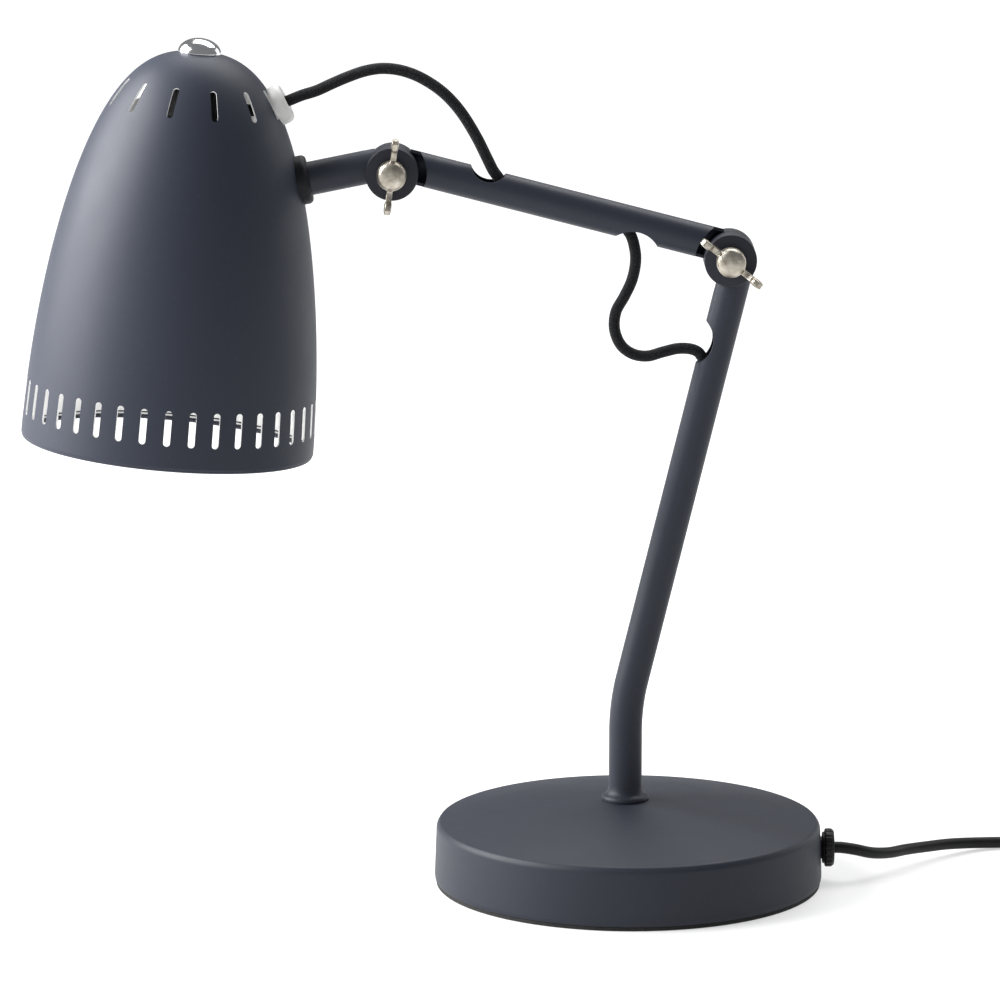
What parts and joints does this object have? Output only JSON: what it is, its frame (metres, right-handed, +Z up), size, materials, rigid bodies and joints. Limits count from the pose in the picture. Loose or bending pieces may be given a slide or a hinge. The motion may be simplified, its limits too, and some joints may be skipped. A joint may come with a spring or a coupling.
{
  "type": "architect desk lamp",
  "caption": "Desk lamp with a weighted round base, bent post, short arm on two wing-nut friction joints, and a tilting bullet metal shade with vent slots.",
  "frame": {"origin": "centre of the round base's underside, on the surface the lamp stands on", "axes": "+X away from the shade, towards the mains lead's exit; +Y to the back of the lamp; +Z up"},
  "size_m": [0.6352, 0.2361, 0.4102],
  "materials": {
    "base_paint": "satin powder paint, dark slate",
    "tube_paint": "satin paint, dark slate",
    "joint_paint": "satin paint, near-black slate, turned edges",
    "shade_paint": "matte paint, dark slate outside, white inside",
    "collar_rubber": "matte black",
    "iron": "rough cast",
    "pad_foam": "matte black foam rubber",
    "zinc_steel": "zinc plated",
    "nickel": "cast, nickel plated, softly polished",
    "fibre": "black fibre",
    "black_plastic": "black moulded plastic",
    "rocker_plastic": "black gloss moulded plastic",
    "braid": "black braided textile with grey flecks",
    "mains_sheath": "smooth black flexible sheath",
    "tie_band": "black hook-and-loop band",
    "plated_brass": "plated",
    "white_plastic": "off-white moulded plastic",
    "chrome": "mirror chrome",
    "opal_glass": "opal white glass"
  },
  "bodies": {
    "stand": {"base_shell": "base_paint", "base_weight": "iron", "base_pad": "pad_foam", "foot_flange": "base_paint", "post_tube": "tube_paint", "post_knuckle": "joint_paint", "post_nipple": "zinc_steel", "post_nut": "zinc_steel", "cord_gland": "black_plastic", "gland_nut": "black_plastic", "cord_in_post": "braid", "mains_cord": "mains_sheath", "cord_coil": "mains_sheath", "cord_tie": "tie_band", "cord_to_switch": "mains_sheath", "cord_to_plug": "mains_sheath", "switch_base": "black_plastic", "switch_cover": "black_plastic", "plug_body": "black_plastic", "plug_pins": "plated_brass"},
    "switch_key": {"switch_rocker": "rocker_plastic"},
    "upper_arm": {"arm_tube": "tube_paint", "arm_elbow_knuckle": "joint_paint", "arm_head_knuckle": "joint_paint", "elbow_bolt": "nickel", "head_bolt": "nickel", "elbow_washer": "fibre", "head_washer": "fibre", "cord_in_arm": "braid", "cord_loop_elbow": "braid"},
    "elbow_nut": {"elbow_wing_nut": "nickel"},
    "head_nut": {"head_wing_nut": "nickel"},
    "lamp_head": {"neck_tube": "tube_paint", "neck_knuckle": "joint_paint", "neck_collar": "collar_rubber", "neck_nut": "zinc_steel", "shade": "shade_paint", "cord_bushing": "white_plastic", "crown_knob": "chrome", "crown_nipple": "zinc_steel", "crown_nut": "zinc_steel", "lampholder_cap": "black_plastic", "lampholder_skirt": "black_plastic", "lampholder_contact": "plated_brass", "holder_lead": "braid", "bulb_cap": "zinc_steel", "bulb_glass": "opal_glass", "cord_loop_head": "braid"}
  },
  "joints": [
    {"name": "elbow", "type": "hinge", "parent": "stand", "child": "upper_arm", "pos_m": [0.04699, 0, 0.30564], "axis": [0, 1, 0], "range_deg": [-25, 60], "deforming": ["cord_loop_elbow"]},
    {"name": "head_tilt", "type": "hinge", "parent": "upper_arm", "child": "lamp_head", "pos_m": [-0.11331, 0, 0.3468], "axis": [0, 1, 0], "range_deg": [-40, 60], "deforming": ["cord_loop_head"]},
    {"name": "elbow_nut_turn", "type": "hinge", "parent": "upper_arm", "child": "elbow_nut", "pos_m": [0.04699, 0, 0.30564], "axis": [0, -1, 0], "range_deg": [0, 360]},
    {"name": "head_nut_turn", "type": "hinge", "parent": "upper_arm", "child": "head_nut", "pos_m": [-0.11331, 0, 0.3468], "axis": [0, -1, 0], "range_deg": [0, 360]},
    {"name": "switch_rock", "type": "hinge", "parent": "stand", "child": "switch_key", "pos_m": [0.328, 0.063, 0.0135], "axis": [1, 0, 0], "range_deg": [0, 14]}
  ]
}
